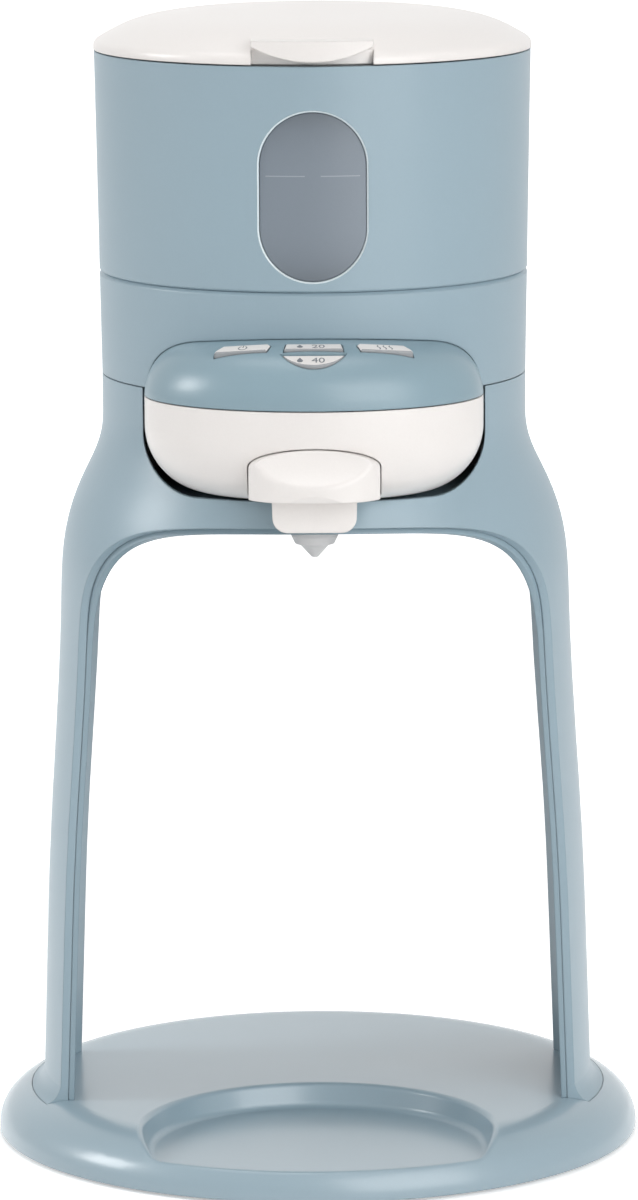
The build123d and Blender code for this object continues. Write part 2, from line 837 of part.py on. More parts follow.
with BuildPart() as thermoblock:
    add(block(-heater_half_width, heater_half_width, heater_front, heater_back, heater_low, heater_high))
    fillet(thermoblock.edges().filter_by(Axis.Z), 3.0)
    for turn_y in (heater_front + 5, heater_back - 5):
        with Locations(Location((0, turn_y, heater_low), (0, 90, 0))):
            Cylinder(3.2, 2 * heater_half_width - 6)
    with Locations(Location((heater_half_width + 2, heater_port_y, port_height), (0, 90, 0))):
        Cylinder(port_radius, 4)
    with Locations(Location((0, heater_front - 2, port_height), (90, 0, 0))):
        Cylinder(port_radius, 4)
thermoblock.part.label = "thermoblock"
export_step(thermoblock.part, "parts/thermoblock.step")

with BuildPart() as heater_terminals:
    for y in (heater_front + 5, heater_back - 5):
        add(block(-heater_half_width - 7, -heater_half_width, y - 0.4, y + 0.4, heater_low + 2, heater_low + 8))
heater_terminals.part.label = "heater_terminals"
export_step(heater_terminals.part, "parts/heater_terminals.step")

with BuildPart() as thermal_fuse:
    with Locations(Location((0, 15, heater_high + 2), (0, 90, 0))):
        Cylinder(2.0, 14)
thermal_fuse.part.label = "thermal_fuse"
export_step(thermal_fuse.part, "parts/thermal_fuse.step")

with BuildPart() as temperature_sensor:
    add(rod(-18, 8, heater_high, heater_high + 3.4, 2.5))
temperature_sensor.part.label = "temperature_sensor"
export_step(temperature_sensor.part, "parts/temperature_sensor.step")

with BuildPart() as suction_hose:
    add(
        tube(
            [
                (outlet_x, outlet_y, ledge_height - 4),
                (outlet_x, outlet_y, pump_height),
                (pump_left - 4, pump_y, pump_height),
            ],
            6.0,
            hose_radius,
            hose_bore,
        )
    )
suction_hose.part.label = "suction_hose"
export_step(suction_hose.part, "parts/suction_hose.step")

with BuildPart() as pressure_hose:
    add(
        tube(
            [
                (pump_outlet_x, pump_y, port_height - 6),
                (pump_outlet_x, pump_y, port_height),
                (38, pump_y, port_height),
                (38, heater_port_y, port_height),
                (heater_half_width + 4, heater_port_y, port_height),
            ],
            hose_bend,
            hose_radius,
            hose_bore,
        )
    )
pressure_hose.part.label = "pressure_hose"
export_step(pressure_hose.part, "parts/pressure_hose.step")

spout_top = 211.0
with BuildPart() as spout_hose:
    add(
        tube(
            [
                (0, heater_front - 4, port_height),
                (0, -outlet_forward, port_height),
                (0, -outlet_forward, spout_top),
            ],
            6.0,
            hose_radius,
            hose_bore,
        )
    )
spout_hose.part.label = "spout_hose"
export_step(spout_hose.part, "parts/spout_hose.step")

board_y = 36.0
board_thickness = 1.6
board_half_width = 21.0
board_low = 211.5
board_high = ledge_top
with BuildPart() as control_board:
    add(block(-board_half_width, board_half_width, board_y, board_y + board_thickness, board_low, board_high))
control_board.part.label = "control_board"
export_step(control_board.part, "parts/control_board.step")

with BuildPart() as board_parts:
    back = board_y + board_thickness
    for x_low, x_high, depth, z_low, z_high in (
        (-19, -9, 7.5, 213, 225),
        (-6, 2, 5.0, 214, 222),
        (5, 19, 6.5, 213, 219),
        (7, 17, 3.0, 221, 225),
    ):
        add(block(x_low, x_high, back, back + depth, z_low, z_high))
board_parts.part.label = "board_parts"
export_step(board_parts.part, "parts/board_parts.step")

# ------------------------------------------------------------------ control pod
with BuildPart() as pod_bowl:
    add(pod_form(0, 0, pod_parting))
    add(pod_form(pod_wall, 0, seam_top), mode=Mode.SUBTRACT)
    for x, y in ceiling_rests:
        add(
            rod(x, y, ceiling_height - ceiling_rest_depth, ceiling_height, ceiling_rest_radius)
            & pod_form(pod_wall / 2, 0, pod_parting)
        )
    add(drawer_front_view(drawer_clearance, bowl_inside_bottom), mode=Mode.SUBTRACT)
    add(
        rod(0, -outlet_forward, bowl_inside_bottom - funnel_flange, bowl_inside_bottom + 5, funnel_flange_radius + 0.1),
        mode=Mode.SUBTRACT,
    )
    add(rod(0, -outlet_forward, 0, bowl_inside_bottom, funnel_mouth_radius + 0.3), mode=Mode.SUBTRACT)
pod_bowl.part.label = "pod_bowl"
export_step(pod_bowl.part, "parts/pod_bowl.step")

ceiling_top = ceiling_height + ceiling_thickness
with BuildPart() as pod_ceiling:
    add(pod_form(pod_wall + 0.2, ceiling_height, ceiling_top))
    for side in (-1, 1):
        add(rod(side * 15, -61, ceiling_top, switch_board_height - 0.4, 2.0))
    add(rod(0, -outlet_forward, 0, pod_parting, spout_radius + 0.1), mode=Mode.SUBTRACT)
pod_ceiling.part.label = "pod_ceiling"
export_step(pod_ceiling.part, "parts/pod_ceiling.step")

with BuildPart() as water_spout:
    add(rod(0, -outlet_forward, drawer_top + 1.2, spout_top, spout_radius))
    add(rod(0, -outlet_forward, ceiling_top, ceiling_top + 1.2, spout_radius + 3))
    add(rod(0, -outlet_forward, 0, spout_top, hose_bore), mode=Mode.SUBTRACT)
water_spout.part.label = "water_spout"
export_step(water_spout.part, "parts/water_spout.step")

# ------------------------------------------------------------------ buttons
def button_plane(place, lean_x, lean_y, yaw):
    """A button's top plane, leaning with the cover under it."""
    return Plane(origin=place, x_dir=(cos(radians(yaw)), sin(radians(yaw)), -lean_x), z_dir=(lean_x, lean_y, 1))


press = Vector(0, -press_lean, 1).normalized()
switch_plane = Plane(origin=(0, -67.0, switch_board_height), x_dir=(1, 0, 0), z_dir=press)
button_planes = {
    "button_back": button_plane((0, -66.3, 226.0), 0, -0.18, 0),
    "button_front": button_plane((0, -71.5, 223.05), 0, -0.40, 0),
    "button_left": button_plane((-18.6, -64.0, 225.35), -0.14, -0.26, -14),
    "button_right": button_plane((18.6, -64.0, 225.35), 0.14, -0.26, 14),
}
button_outlines = {
    "button_back": [(-7.2, 2.3), (7.2, 2.3), (7.7, -2.2), (-7.7, -2.2)],
    "button_left": [(-5.6, 2.1), (6.5, 2.1), (7.2, 1.2), (6.8, -2.1), (-7.2, -2.1), (-7.2, -0.8)],
    "button_right": [(5.6, 2.1), (-6.5, 2.1), (-7.2, 1.2), (-6.8, -2.1), (7.2, -2.1), (7.2, -0.8)],
}
front_half_width = 8.4
front_back_edge = 2.7
front_sagitta = 5.4
# edge of each flange that has to stay clear of the next button: local y low, local y high
flange_limits = {
    "button_back": (-2.2, 9.0),
    "button_front": (-9.0, front_back_edge),
    "button_left": (-9.0, 9.0),
    "button_right": (-9.0, 9.0),
}


def button_prism(name, grow, over, under):
    """A button's outline, grown, between two heights above the switch board along the press."""
    low_limit, high_limit = flange_limits[name]
    with BuildSketch() as outline:
        if name == "button_front":
            with BuildLine():
                edge = ThreePointArc(
                    (-front_half_width, front_back_edge),
                    (0, front_back_edge - front_sagitta),
                    (front_half_width, front_back_edge),
                )
                Line(edge @ 1, edge @ 0)
        else:
            with BuildLine():
                Polyline(*button_outlines[name], close=True)
        make_face()
        if grow:
            offset(amount=grow, kind=Kind.INTERSECTION)
        if grow > button_clearance:
            with Locations((0, (low_limit + high_limit) / 2)):
                Rectangle(60, high_limit - low_limit, mode=Mode.INTERSECT)
    with BuildPart() as form:
        with BuildSketch(button_planes[name]):
            add(outline.sketch)
        extrude(amount=20, dir=press, both=True)
        with BuildSketch(switch_plane.offset(under)):
            Rectangle(200, 200)
        extrude(amount=over - under, mode=Mode.INTERSECT)
    return form.part


button_names = ["button_back", "button_front", "button_left", "button_right"]
with BuildPart() as pod_cover:
    add(pod_form(0, pod_parting + cover_seam, seam_top))
    add(pod_form(pod_wall, 0, seam_top), mode=Mode.SUBTRACT)
    add(rod(0, 0, 0, seam_top, lap_inner - 0.3), mode=Mode.SUBTRACT)
    for name in button_names:
        add(button_prism(name, button_clearance, 30, 0), mode=Mode.SUBTRACT)
pod_cover.part.label = "pod_cover"
export_step(pod_cover.part, "parts/pod_cover.step")


def button_body(name):
    """A button: its prism under the top plane, with a retaining flange at the lower end."""
    with BuildPart() as form:
        add(button_prism(name, 0, 30, button_rest))
        with BuildSketch(button_planes[name]):
            Rectangle(200, 200)
        extrude(amount=40, mode=Mode.SUBTRACT)
        top = form.faces().filter_by(lambda f: abs(f.normal_at().dot(button_planes[name].z_dir)) > 0.999)
        chamfer(top.sort_by(Axis.Z)[-1].edges(), button_edge)
        add(
            button_prism(name, button_flange_grow, button_rest + button_flange, button_rest)
            & pod_form(pod_wall + pod_gap, 0, seam_top)
        )
    return form.part


with BuildPart() as button_back:
    add(button_body("button_back"))
button_back.part.label = "button_back"
export_step(button_back.part, "parts/button_back.step")

with BuildPart() as button_front:
    add(button_body("button_front"))
button_front.part.label = "button_front"
export_step(button_front.part, "parts/button_front.step")

with BuildPart() as button_left:
    add(button_body("button_left"))
button_left.part.label = "button_left"
export_step(button_left.part, "parts/button_left.step")

with BuildPart() as button_right:
    add(button_body("button_right"))
button_right.part.label = "button_right"
export_step(button_right.part, "parts/button_right.step")

with BuildPart() as button_board:
    with BuildSketch(switch_plane):
        Rectangle(52, 14)
    extrude(amount=-1.4)
    add(pod_form(pod_wall + 0.8, 0, seam_top), mode=Mode.INTERSECT)
button_board.part.label = "button_board"
export_step(button_board.part, "parts/button_board.step")

switch_places = [switch_plane.to_local_coords(plane.origin) for plane in button_planes.values()]
with BuildPart() as button_switches:
    for place in switch_places:
        with BuildSketch(switch_plane):
            with Locations((place.X, place.Y)):
                Rectangle(4.0, 3.2)
        extrude(amount=switch_height - 0.5)
        with BuildSketch(switch_plane):
            with Locations((place.X, place.Y)):
                Circle(1.1)
        extrude(amount=switch_height)
button_switches.part.label = "button_switches"
export_step(button_switches.part, "parts/button_switches.step")

# ------------------------------------------------------------------ powder drawer
drawer_middle = 74.0
drawer_half_reach = tab_reach - drawer_middle
with BuildPart() as drawer_front:
    add(drawer_front_view(0, tab_bottom))
    with BuildSketch(Plane.XY) as tab_plan:
        with Locations((0, -drawer_middle)):
            Ellipse(drawer_half_width + 0.6, drawer_half_reach)
        with Locations((0, -drawer_middle + 20)):
            Rectangle(2 * drawer_half_width + 2, 40)
    extrude(amount=seam_low, mode=Mode.INTERSECT)
    with BuildSketch(Plane.YZ):
        with BuildLine():
            slope = ThreePointArc(
                (-pod_forward - pod_half_depth + 0.2, drawer_top + 0.6),
                (-81.6, 194.6),
                (-tab_reach - 0.4, 191.0),
            )
            Polyline(
                slope @ 1,
                (-tab_reach - 0.4, 189.8),
                (-tab_reach + 1.6, tab_bottom - 1),
                (-tray_front - 1.2, tab_bottom - 1),
                (-tray_front - 1.2, drawer_top + 0.6),
                slope @ 0,
            )
        make_face()
    extrude(amount=drawer_half_width + 5, both=True, mode=Mode.INTERSECT)
    with BuildSketch(Plane.XZ.offset(skirt_front - skirt_wall)) as skirt:
        with BuildLine():
            Polyline(
                (-skirt_half_width - 0.3, tab_bottom + 1),
                (-skirt_half_width, skirt_bottom),
                (skirt_half_width, skirt_bottom),
                (skirt_half_width + 0.3, tab_bottom + 1),
                close=True,
            )
        make_face()
        fillet(skirt.vertices().group_by(Axis.Y)[0], skirt_corner)
    extrude(amount=skirt_wall)
    lip_edges = drawer_front.edges().filter_by(
        lambda e: e.center().Y < -pod_forward - pod_half_depth and tab_bottom + 3 < e.center().Z < drawer_straight + 2
    )
    fillet(lip_edges, tab_round)
drawer_front.part.label = "drawer_front"
export_step(drawer_front.part, "parts/drawer_front.step")

with BuildPart() as powder_tray:
    add(drawer_front_view(-0.4, tray_bottom))
    add(
        block(
            -tray_half_width,
            tray_half_width,
            -tray_front - 1.2,
            -tray_back,
            tray_bottom,
            tray_bottom + tray_height,
        ),
        mode=Mode.INTERSECT,
    )
    add(
        block(
            -tray_half_width + tray_wall,
            tray_half_width - tray_wall,
            -tray_front - 1.2 + tray_wall,
            -tray_back - tray_wall,
            tray_bottom + tray_wall,
            seam_low,
        ),
        mode=Mode.SUBTRACT,
    )
    add(rod(0, -outlet_forward, 0, tray_bottom + tray_wall, tray_hole_radius), mode=Mode.SUBTRACT)
powder_tray.part.label = "powder_tray"
export_step(powder_tray.part, "parts/powder_tray.step")

with BuildPart() as tray_valve:
    add(
        rod(
            0,
            -outlet_forward,
            tray_bottom + tray_wall,
            tray_bottom + tray_wall + 0.8,
            tray_hole_radius + 2.4,
        )
    )
    add(rod(0, -outlet_forward, tray_bottom + 0.4, tray_bottom + tray_wall, tray_hole_radius - 0.2))
    for turn in (0, 90):
        with Locations(Location((0, -outlet_forward, tray_bottom + tray_wall), (0, 0, turn))):
            Box(2 * tray_hole_radius - 2.4, 0.5, 4, mode=Mode.SUBTRACT)
tray_valve.part.label = "tray_valve"
export_step(tray_valve.part, "parts/tray_valve.step")

# ------------------------------------------------------------------ outlet
with BuildPart() as mixing_funnel:
    with BuildSketch(Plane.XZ.offset(outlet_forward)):
        with BuildLine():
            Polyline(
                (funnel_mouth_radius - 1.6, bowl_inside_bottom - 0.2),
                (funnel_flange_radius, bowl_inside_bottom - 0.2),
                (funnel_flange_radius, bowl_inside_bottom - funnel_flange),
                (funnel_mouth_radius, bowl_inside_bottom - funnel_flange),
                (funnel_mouth_radius, under_cover_top - 0.4),
                (funnel_outlet_radius, 178.6),
                (funnel_outlet_radius, funnel_bottom),
                (funnel_bore, funnel_bottom),
                (funnel_bore, 178.0),
                (funnel_mouth_radius - 1.6, under_cover_top - 0.6),
                close=True,
            )
        make_face()
    revolve(axis=Axis((0, -outlet_forward, 0), (0, 0, 1)))
mixing_funnel.part.label = "mixing_funnel"
export_step(mixing_funnel.part, "parts/mixing_funnel.step")

with BuildPart() as drip_nozzle:
    with BuildSketch(Plane.XZ.offset(outlet_forward)):
        with BuildLine():
            Polyline(
                (funnel_outlet_radius, nozzle_top),
                (nozzle_radius, nozzle_top),
                (nozzle_radius - 0.2, nozzle_collar),
                (nozzle_radius - 1.2, nozzle_shoulder),
                (nozzle_cone_radius, nozzle_shoulder - 0.4),
                (nozzle_hole + 0.4, nozzle_tip),
                (nozzle_hole, nozzle_tip),
                (nozzle_cone_radius - 1.4, nozzle_shoulder),
                (funnel_bore, funnel_bottom),
                (funnel_outlet_radius, funnel_bottom),
                close=True,
            )
        make_face()
    revolve(axis=Axis((0, -outlet_forward, 0), (0, 0, 1)))
drip_nozzle.part.label = "drip_nozzle"
export_step(drip_nozzle.part, "parts/drip_nozzle.step")

# ------------------------------------------------------------------ lid
with BuildPart() as tab_room:
    with BuildSketch(Plane.XZ):
        with Locations((0, (seam_top - 2 + lid_tab_high + 0.6) / 2)):
            Rectangle(2 * lid_tab_half_width, lid_tab_high + 0.6 - seam_top + 2)
    extrude(amount=base_radius)
    add(rod(0, 0, 0, base_diameter * 2, lid_notch_face), mode=Mode.SUBTRACT)

with BuildPart() as lid_tongue:
    with BuildSketch(Plane.XZ):
        with BuildLine():
            smile = ThreePointArc(
                (-lid_tab_half_width, lid_tab_low + lid_tab_half_width**2 / (2 * lid_tab_curve)),
                (0, lid_tab_low),
                (lid_tab_half_width, lid_tab_low + lid_tab_half_width**2 / (2 * lid_tab_curve)),
            )
            Polyline(
                smile @ 1,
                (lid_tab_half_width, lid_tab_high),
                (-lid_tab_half_width, lid_tab_high),
                smile @ 0,
            )
        make_face()
    extrude(amount=base_radius)
    add(rod(0, 0, 0, base_diameter * 2, lid_tab_reach), mode=Mode.INTERSECT)
    add(rod(0, 0, 0, base_diameter * 2, lid_notch_face - lid_backing - 0.6), mode=Mode.SUBTRACT)

lid_solid = lid_dome(0)
lid_core = lid_dome(lid_wall)
with BuildPart() as lid_shell:
    add(lid_solid)
    add(lid_core, mode=Mode.SUBTRACT)
    add(
        ring(lid_notch_face + 0.2, lid_notch_face - lid_backing, lid_bottom, lid_tab_high + 1)
        & block(-lid_tab_half_width - 2, lid_tab_half_width + 2, -base_radius, 0, lid_bottom, lid_tab_high + 1)
        & lid_solid
    )
    add(tab_room.part, mode=Mode.SUBTRACT)
    add(lid_tongue.part)
    with Locations(hinge_line):
        Cylinder(hinge_barrel, 2 * knuckle_half_width)
    add(
        block(
            -knuckle_half_width,
            knuckle_half_width,
            lid_radius - 4.5,
            hinge_y,
            lid_bottom + 0.6,
            hinge_height + hinge_barrel - 0.2,
        )
        & (lid_solid + rod(0, 0, hinge_height - 1.5, hinge_height + 1.5, hinge_y) - lid_core)
    )
    for side in (-1, 1):
        low, high = sorted((side * (ear_inner - hinge_side_gap), side * (ear_outer + hinge_side_gap)))
        add(block(low, high, top_radius - body_wall - 1.4, 90, 0, 400), mode=Mode.SUBTRACT)
    with Locations(hinge_line):
        Cylinder(hinge_pin_radius + hinge_fit, 2 * knuckle_half_width + 2, mode=Mode.SUBTRACT)
lid_shell.part.label = "lid_shell"
export_step(lid_shell.part, "parts/lid_shell.step")

liner_level = lid_bottom + 0.1
with BuildPart() as lid_liner:
    add(rod(0, 0, liner_level, liner_level + lid_liner_thickness, liner_disc_radius))
    add(ring(spigot_radius, spigot_radius - spigot_wall, liner_level - spigot_depth, liner_level))
    for x, y in liner_posts:
        add(rod(x, y, liner_level, seam_top + lid_rise, 2.6) & lid_core)
lid_liner.part.label = "lid_liner"
export_step(lid_liner.part, "parts/lid_liner.step")

with BuildPart() as lid_seal:
    add(ring(spigot_radius + lid_seal_width, spigot_radius + 0.1, liner_level - lid_seal_depth, liner_level))
lid_seal.part.label = "lid_seal"
export_step(lid_seal.part, "parts/lid_seal.step")
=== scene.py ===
"""Finishes, printed marks and studio for the baby formula maker."""

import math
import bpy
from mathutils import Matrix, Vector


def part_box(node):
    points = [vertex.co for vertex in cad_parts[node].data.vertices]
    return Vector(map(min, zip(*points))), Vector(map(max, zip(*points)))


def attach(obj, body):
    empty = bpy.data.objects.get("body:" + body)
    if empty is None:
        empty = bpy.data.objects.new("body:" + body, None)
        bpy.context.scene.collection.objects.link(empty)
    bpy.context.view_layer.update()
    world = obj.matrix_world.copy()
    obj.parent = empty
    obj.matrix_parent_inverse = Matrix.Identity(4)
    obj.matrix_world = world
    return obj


bl_info = {
    "name": "Baby Formula Maker",
    "version": (1, 0, 0),
    "blender": (4, 5, 0),
    "location": "3D View > Sidebar > Formula Maker",
    "description": "Dresses the formula maker's solids and lights them",
    "category": "Object",
}

import bmesh
import bpy
from bpy.props import FloatProperty, FloatVectorProperty, IntProperty, PointerProperty
from mathutils import Matrix, Vector

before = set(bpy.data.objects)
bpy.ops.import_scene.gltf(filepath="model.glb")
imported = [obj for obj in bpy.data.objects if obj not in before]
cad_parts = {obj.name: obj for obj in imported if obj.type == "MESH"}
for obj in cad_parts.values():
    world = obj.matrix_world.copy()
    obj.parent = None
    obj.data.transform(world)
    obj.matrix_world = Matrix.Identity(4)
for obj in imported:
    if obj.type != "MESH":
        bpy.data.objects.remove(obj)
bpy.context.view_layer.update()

MM = 0.001

# Surfaces
BEVEL_SAMPLES = 4
METAL_DEPTH = 0.00001
SIDE_LEVEL = 0.6  # a face whose normal rises less than this is a button's side, and gets painted shade
INK_ROUGHNESS = 0.5

# Window, in metres
HOUSING_RADIUS = 0.05835  # of the upper housing, level with the window's middle
HOUSING_TAPER = 0.016  # growth of that radius per metre of height
LENS_GAP = 0.0001  # between the lens and the housing round it
RIM_START = 0.00008  # from that gap to the painted highlight
RIM_RISE = 0.00006  # how far the painted highlight stands off the housing
RIM_SINK = 0.00034  # how far its inner side lies back
RIM_STEPS = 64
LINE_SEGMENTS = 24
LINE_LEFT_OUT = 4  # segments missing in the middle of the level line
SHADE_POWER = 3.5  # how late the painted shade darkens the window on the way to its ends
SHADE_SHARE = 0.38  # how much darker the painted shade makes the very ends

# Marks on the buttons, in metres from the middle of the button
STROKE_BREADTH = 0.00028
DROP_PLACE = (-0.0036, 0.0)
DROP_SIZE = 0.0022
NUMBER_PLACE = (0.0012, -0.0001, 0)
WAVE_SHIFTS = (-0.0016, 0.0, 0.0016)
WAVE_HEIGHT = 0.0024
WAVE_SWAY = 0.00028
WAVE_STEPS = 8
RING_RADIUS = 0.0011
BAR_ENDS = (0.0003, 0.0015)

# Studio, in metres
FLOOR_REACH = 6.0
BEND_START = 2.2  # where the floor starts to bend up into the backdrop
BEND_RADIUS = 0.8
BACKDROP_TOP = 5.0
FLOOR_MIRRORED = 0.62  # glow of the floor as glossy surfaces see it
WHITE = (1.0, 1.0, 1.0)
LAMP_AIM = Vector((0, 0, 0.17))
LAMPS = (
    # name, place, size, share of the lamp power
    ("lamp_left", (-1.70, -0.10, 0.90), 0.6, 1.15),
    ("lamp_right", (0.95, -1.45, 0.85), 1.5, 2.1),
    ("lamp_top", (-0.1, 0.10, 1.75), 1.0, 0.7),
)
SENSOR_HEIGHT = 36.0  # in millimetres, as Blender has it
PICTURE_HEIGHT = 1200  # in pixels


def linear(red, green, blue):
    """Linear colour of an sRGB colour given in 0 to 255."""

    def channel(value):
        value = value / 255
        return value / 12.92 if value <= 0.04045 else ((value + 0.055) / 1.055) ** 2.4

    return (channel(red), channel(green), channel(blue))


# ------------------------------------------------------------------ settings
def colour_property(name, description, srgb):
    """A colour the user can change, given in sRGB."""
    return FloatVectorProperty(
        name=name,
        description=description,
        default=linear(*srgb),
        subtype="COLOR",
        min=0.0,
        max=1.0,
    )


def length_property(name, description, default):
    """A length the user can change, in metres."""
    return FloatProperty(name=name, description=description, default=default, unit="LENGTH")


class MakerColours(bpy.types.PropertyGroup):
    shell: colour_property("Shell", "Grey-blue of body, stand and base", (147, 168, 179))
    cover: colour_property("Pod cover", "Deeper grey-blue of the pod's cover", (135, 159, 170))
    liner: colour_property("Stand liner", "Inner skin of the arch", (139, 160, 171))
    white: colour_property("White", "Lid, bowl, drawer and buttons", (233, 229, 226))
    window: colour_property("Window", "Frosted water window", (122, 132, 142))
    nozzle: colour_property("Nozzle", "Silicone drip nozzle", (214, 213, 213))
    print_grey: colour_property("Print", "Printed marks on the buttons", (118, 122, 127))
    level_line: colour_property("Level line", "Printed line on the window", (152, 160, 170))
    # Painted shade: the buttons' sides are the same white plastic, shown darker because light falls
    # from above.
    button_side: colour_property("Button sides", "Shaded sides of the buttons", (152, 155, 158))
    # Painted highlight: light caught on the housing's rounded edge round the window.
    window_rim: colour_property("Window rim", "Bright edge round the window", (214, 226, 230))


class MakerSurface(bpy.types.PropertyGroup):
    grain_scale: FloatProperty(
        name="Grain scale",
        description="Grains per metre of the moulded texture",
        default=1500.0,
        min=1.0,
    )
    grain_depth: length_property("Grain depth", "Height of the moulded texture", 0.00002)
    edge_radius: length_property("Edge radius", "Rounding shown on moulded edges", 0.00055)
    shell_roughness: FloatProperty(
        name="Shell roughness",
        description="Roughness of the coloured shell",
        default=0.36,
        subtype="FACTOR",
    )
    white_roughness: FloatProperty(
        name="White roughness",
        description="Roughness of the white pieces",
        default=0.30,
        subtype="FACTOR",
    )


class MakerMarks(bpy.types.PropertyGroup):
    level_height: length_property("Level height", "Height of the full-tank line", 0.2697)
    level_width: length_property("Level width", "Length of the full-tank line", 0.0250)
    line_thickness: length_property("Line thickness", "Breadth of the full-tank line", 0.00028)
    print_height: length_property("Print height", "How far print stands off", 0.00004)
    digit_size: length_property("Digit size", "Height of the buttons' numbers", 0.0036)
    # Breadth of the painted highlight round the window.
    rim_breadth: length_property("Rim breadth", "Breadth of the window's bright edge", 0.00042)
    cool_number: IntProperty(
        name="Cool number", description="Number on the back button", default=20
    )
    warm_number: IntProperty(
        name="Warm number", description="Number on the front button", default=40
    )


class MakerStudio(bpy.types.PropertyGroup):
    camera_distance: length_property(
        "Camera distance", "From the machine's axis to the camera", 1.717
    )
    camera_height: length_property("Camera height", "Height of the camera", 0.4439)
    camera_side: length_property("Camera side", "Sideways place of the camera", 0.00105)
    camera_pitch: FloatProperty(
        name="Camera pitch",
        description="How far the camera looks down",
        default=math.radians(9.8),
        subtype="ANGLE",
    )
    camera_roll: FloatProperty(
        name="Camera roll",
        description="Lean of the camera",
        default=math.radians(-0.3),
        subtype="ANGLE",
    )
    focal_pixels: FloatProperty(
        name="Focal length in pixels",
        description="Focal length for the full frame",
        default=6367.0,
    )
    lamp_power: FloatProperty(
        name="Lamp power",
        description="Power that each lamp takes its share of",
        default=11.0,
        unit="POWER",
    )
    world_light: FloatProperty(
        name="World light", description="Strength of the soft light all round", default=0.30
    )


# ------------------------------------------------------------------ node helpers
class Graph:
    """Shorthand for adding and joining the nodes of one tree."""

    def __init__(self, tree, clear=True):
        self.tree = tree
        if clear:
            self.tree.nodes.clear()

    def node(self, kind, settings=None, **inputs):
        """A new node, with its settings and the values or sockets that feed its inputs."""
        made = self.tree.nodes.new(kind)
        for key, value in (settings or {}).items():
            setattr(made, key, value)
        for key, value in inputs.items():
            self.feed(made.inputs[key.replace("_", " ")], value)
        return made

    def feed(self, socket, value):
        """Joins an output to the socket, or sets the socket to a value or colour."""
        if isinstance(value, bpy.types.NodeSocket):
            self.tree.links.new(value, socket)
        elif isinstance(value, (tuple, list)) and len(value) == 3 and socket.type == "RGBA":
            socket.default_value = (*value, 1.0)
        else:
            socket.default_value = value

    def math(self, operation, first, second=0.0):
        """The output of one sum."""
        made = self.tree.nodes.new("ShaderNodeMath")
        made.operation = operation
        self.feed(made.inputs[0], first)
        self.feed(made.inputs[1], second)
        return made.outputs[0]

    def vary(self, middle, noise, share):
        """The middle value, moved up and down by a share of the noise."""
        centred = self.math("SUBTRACT", noise.outputs["Fac"], 0.5)
        return self.math("ADD", self.math("MULTIPLY", centred, share), middle)

    def position(self, axis):
        """The shaded point's place along one axis of the world."""
        point = self.node("ShaderNodeNewGeometry").outputs["Position"]
        return self.node("ShaderNodeSeparateXYZ", Vector=point).outputs[axis]


def surface_group(name, inputs, build):
    """A node group made on first use: build(graph, given) returns colour, gloss and height."""
    if name in bpy.data.node_groups:
        return bpy.data.node_groups[name]
    tree = bpy.data.node_groups.new(name, "ShaderNodeTree")
    for label, kind, default in inputs:
        socket = tree.interface.new_socket(label, in_out="INPUT", socket_type=kind)
        socket.default_value = (*default, 1.0) if kind == "NodeSocketColor" else default
    outputs = {
        "Color": "NodeSocketColor",
        "Roughness": "NodeSocketFloat",
        "Height": "NodeSocketFloat",
    }
    for label, kind in outputs.items():
        tree.interface.new_socket(label, in_out="OUTPUT", socket_type=kind)
    graph = Graph(tree)
    given = graph.node("NodeGroupInput")
    result = graph.node("NodeGroupOutput")
    for label, value in zip(outputs, build(graph, given.outputs)):
        graph.feed(result.inputs[label], value)
    return tree


def moulded_group():
    """Fine spark-eroded grain with a slight drift of tone and gloss, as on moulded plastic."""
    patches_per_metre = 14.0
    speck_share = 0.04
    gloss_share = 0.14

    def build(graph, given):
        place = graph.node("ShaderNodeTexCoord").outputs["Object"]
        grain = graph.node(
            "ShaderNodeTexNoise",
            Vector=place,
            Scale=given["Grain Scale"],
            Detail=3.0,
            Roughness=0.6,
        )
        drift = graph.node(
            "ShaderNodeTexNoise",
            Vector=place,
            Scale=patches_per_metre,
            Detail=3.0,
            Roughness=0.55,
        )
        tone = graph.vary(1.0, drift, given["Tone"])
        shade = graph.node(
            "ShaderNodeHueSaturation",
            Color=given["Color"],
            Value=graph.vary(tone, grain, speck_share),
        )
        gloss = graph.vary(given["Roughness"], drift, gloss_share)
        return shade.outputs["Color"], gloss, grain.outputs["Fac"]

    return surface_group(
        "Moulded Surface",
        [
            ("Color", "NodeSocketColor", (0.8, 0.8, 0.8)),
            ("Tone", "NodeSocketFloat", 0.04),
            ("Roughness", "NodeSocketFloat", 0.4),
            ("Grain Scale", "NodeSocketFloat", 1500.0),
        ],
        build,
    )


def brushed_group():
    """Fine drawn lines along one axis, as on turned or rolled metal."""
    lines_per_metre = (60.0, 60.0, 3000.0)
    tone_share = 0.3
    gloss_share = 0.3

    def build(graph, given):
        place = graph.node("ShaderNodeTexCoord").outputs["Object"]
        stretch = graph.node("ShaderNodeMapping", Vector=place, Scale=lines_per_metre)
        lines = graph.node(
            "ShaderNodeTexNoise", Vector=stretch.outputs[0], Scale=1.0, Detail=4.0
        )
        shade = graph.node(
            "ShaderNodeHueSaturation",
            Color=given["Color"],
            Value=graph.vary(1.0, lines, tone_share),
        )
        gloss = graph.vary(given["Roughness"], lines, gloss_share)
        return shade.outputs["Color"], gloss, lines.outputs["Fac"]

    return surface_group(
        "Drawn Lines",
        [
            ("Color", "NodeSocketColor", (0.6, 0.6, 0.6)),
            ("Roughness", "NodeSocketFloat", 0.35),
        ],
        build,
    )


